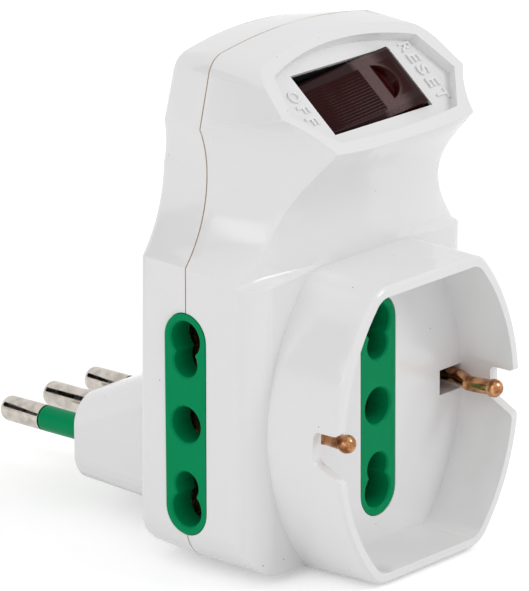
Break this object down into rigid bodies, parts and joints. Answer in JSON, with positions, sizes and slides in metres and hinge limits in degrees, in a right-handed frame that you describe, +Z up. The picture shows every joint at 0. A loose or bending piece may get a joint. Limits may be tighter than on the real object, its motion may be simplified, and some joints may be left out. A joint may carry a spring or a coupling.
{
  "type": "switched plug adapter",
  "caption": "Wall plug adapter with flat side outlets, a collared front outlet with earth clips and an overload rocker switch in a slanted bezel.",
  "frame": {"origin": "on the earth pin's axis in the end face of the plug boss", "axes": "+Y along the pins towards the wall, +Z up towards the switch, +X to the right seen from the front"},
  "size_m": [0.0496, 0.0768, 0.079],
  "materials": {
    "white_casing": "satin",
    "green_socket": "satin",
    "nickel_pin": "polished",
    "green_sleeve": "satin",
    "brass_contact": "satin",
    "brass_clip": "satin",
    "zinc_screw": "satin",
    "black_housing": "satin",
    "red_rocker": "gloss",
    "steel_axle": "satin",
    "white_plunger": "satin",
    "lamp_glass": "clear",
    "bimetal": "satin"
  },
  "bodies": {
    "casing": {"front_shell": "white_casing", "rear_shell": "white_casing", "front_socket_insert": "green_socket", "left_socket_insert": "green_socket", "right_socket_insert": "green_socket", "line_pin": "nickel_pin", "earth_pin": "nickel_pin", "neutral_pin": "nickel_pin", "line_pin_sleeve": "green_sleeve", "neutral_pin_sleeve": "green_sleeve", "line_busbar": "brass_contact", "neutral_busbar": "brass_contact", "earth_busbar": "brass_contact", "line_feed_strip": "brass_contact", "load_strip": "brass_contact", "pivot_terminal": "brass_contact", "fixed_contact_terminal": "brass_contact", "left_earth_clip": "brass_clip", "right_earth_clip": "brass_clip", "left_screw": "zinc_screw", "right_screw": "zinc_screw", "upper_screw": "zinc_screw", "switch_housing": "black_housing", "rocker_axle": "steel_axle", "indicator_lamp": "lamp_glass", "bimetal_strip": "bimetal"},
    "rocker": {"rocker": "red_rocker", "plunger_spring": "steel_axle"},
    "plunger": {"plunger": "white_plunger"},
    "contact_blade": {"contact_blade": "brass_contact"}
  },
  "joints": [
    {"name": "rocker_tilt", "type": "hinge", "parent": "casing", "child": "rocker", "pos_m": [0, -0.04206, 0.05635], "axis": [0, 0.7624, 0.6471], "range_deg": [0, 22]},
    {"name": "contact_blade_tilt", "type": "hinge", "parent": "casing", "child": "contact_blade", "pos_m": [0, -0.03637, 0.04964], "axis": [0, 0.7624, 0.6471], "range_deg": [-12, 0]},
    {"name": "plunger_slide", "type": "slide", "parent": "rocker", "child": "plunger", "axis": [-0.1908, -0.6352, 0.7484], "range_m": [0, 0.0006], "stiffness_N_per_m": 300, "springref_m": -0.001, "deforming": ["plunger_spring"]}
  ],
  "couplings": [
    {"joint": "contact_blade_tilt", "follows": "rocker_tilt", "ratio": -0.545}
  ]
}
